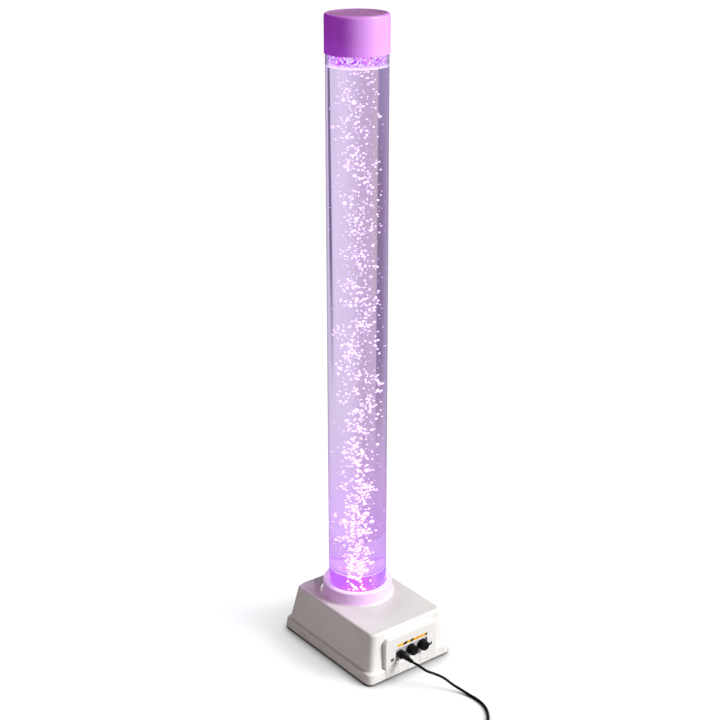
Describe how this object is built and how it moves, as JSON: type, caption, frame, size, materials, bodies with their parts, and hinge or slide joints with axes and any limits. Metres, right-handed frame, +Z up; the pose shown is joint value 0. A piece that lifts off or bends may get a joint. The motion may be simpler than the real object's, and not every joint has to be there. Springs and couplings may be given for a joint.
{
  "type": "bubble tube floor lamp",
  "caption": "Tall clear water-filled tube standing in a white moulded base with an air pump, a colour lamp under the tube, a lift-off cap and a front panel with two turning knobs.",
  "frame": {"origin": "middle of the footprint on the floor, with the knobs' reach in front counted in", "axes": "+Z up along the tube, -Y out of the face with the control panel, +X to the right of someone facing away from the panel's face as the panel is read from the front"},
  "size_m": [0.2086, 0.6095, 1.09],
  "materials": {
    "white_moulding": "smooth satin",
    "base_tray": "moulded",
    "black_rubber": "matte",
    "steel": "plated",
    "clear_acrylic": "polished clear",
    "lit_disc": "polished clear",
    "lit_water": "clear",
    "cap_plastic": "satin translucent",
    "grey_plastic": "moulded",
    "aluminium_sheet": "brushed",
    "circuit_green": "lacquered",
    "circuit_white": "lacquered",
    "lamp_yellow": "clear dome",
    "brass_plated": "turned",
    "hose_clear": "milky",
    "valve_ivory": "moulded",
    "legend_amber": "printed film",
    "black_plastic": "fine satin",
    "cord_black": "satin jacket"
  },
  "bodies": {
    "base": {"base_housing": "white_moulding", "base_plate": "base_tray", "rubber_feet": "black_rubber", "base_screws": "steel", "water_tube": "clear_acrylic", "tube_socket": "grey_plastic", "socket_screws": "steel", "tube_seal": "black_rubber", "base_disc": "lit_disc", "water": "lit_water", "air_bubbles": "lit_water", "heat_sink": "aluminium_sheet", "lamp_board": "circuit_white", "lamp_chips": "lamp_yellow", "lamp_spacers": "brass_plated", "lamp_screws": "steel", "air_pump": "grey_plastic", "pump_lid": "base_tray", "pump_mounts": "black_rubber", "lower_hose": "hose_clear", "check_valve": "valve_ivory", "upper_hose": "hose_clear", "air_nozzle": "brass_plated", "control_plate": "aluminium_sheet", "panel_screws": "steel", "legend_strip": "legend_amber", "colour_pot": "grey_plastic", "bubble_pot": "grey_plastic", "pot_nuts": "steel", "control_board": "circuit_green", "board_parts": "black_plastic", "power_jack": "black_plastic", "jack_nut": "steel", "plug_head": "black_plastic", "plug_tip": "steel", "plug_relief": "cord_black", "cord_lead": "cord_black", "cord_coil": "cord_black", "coil_tie": "black_plastic", "cord_tail": "cord_black", "adapter_relief": "cord_black", "adapter_shell": "black_plastic", "adapter_blades": "steel"},
    "cap": {"top_cap": "cap_plastic"},
    "colour_control": {"colour_knob": "black_plastic", "colour_shaft": "steel"},
    "bubble_control": {"bubble_knob": "black_plastic", "bubble_shaft": "steel"}
  },
  "joints": [
    {"name": "cap_lift", "type": "slide", "parent": "base", "child": "cap", "axis": [0, 0, 1], "range_m": [0, 0.08]},
    {"name": "colour_turn", "type": "hinge", "parent": "base", "child": "colour_control", "pos_m": [0.002, -0.1175, 0.041], "axis": [0, -1, 0], "range_deg": [-150, 150]},
    {"name": "bubble_turn", "type": "hinge", "parent": "base", "child": "bubble_control", "pos_m": [0.026, -0.1175, 0.041], "axis": [0, -1, 0], "range_deg": [-150, 150]}
  ]
}
